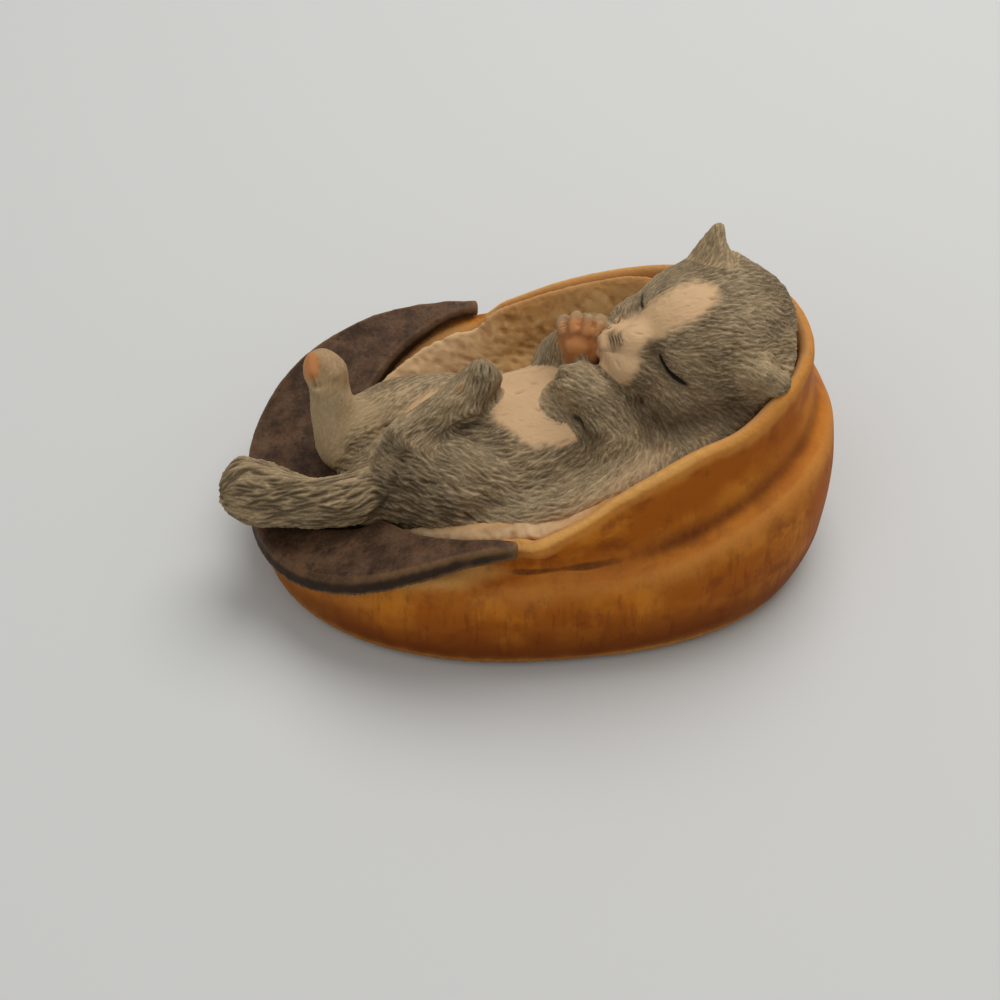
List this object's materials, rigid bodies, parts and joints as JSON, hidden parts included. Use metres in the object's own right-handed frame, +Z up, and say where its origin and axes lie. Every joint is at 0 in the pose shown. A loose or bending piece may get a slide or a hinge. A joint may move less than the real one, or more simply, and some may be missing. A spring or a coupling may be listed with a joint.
{
  "type": "cat figurine",
  "caption": "Kitten asleep on its back in an upturned peaked cap; a painted resin ornament that stands on a felt-covered base.",
  "frame": {"origin": "on the table, under the middle of the whole ornament's box", "axes": "+X along the cap towards the kitten's head, +Y to the far side of the cap, +Z up"},
  "size_m": [0.0948, 0.066, 0.0505],
  "materials": {
    "crown_paint": "painted resin, amber with red-brown streaks, satin",
    "lining_paint": "painted resin, cream wool texture, matt",
    "peak_paint": "painted resin, dark brown and mottled, matt",
    "felt": "dark green felt",
    "fur_paint": "painted resin, beige-grey carved fur with a dark wash, matt"
  },
  "bodies": {
    "root": {"cap_crown": "crown_paint", "cap_lining": "lining_paint", "cap_peak": "peak_paint", "base_felt": "felt", "kitten_torso": "fur_paint", "kitten_head": "fur_paint", "right_ear": "fur_paint", "left_ear": "fur_paint", "left_foreleg": "fur_paint", "right_foreleg": "fur_paint", "left_hind_leg": "fur_paint", "right_hind_leg": "fur_paint", "tail": "fur_paint"}
  },
  "joints": []
}
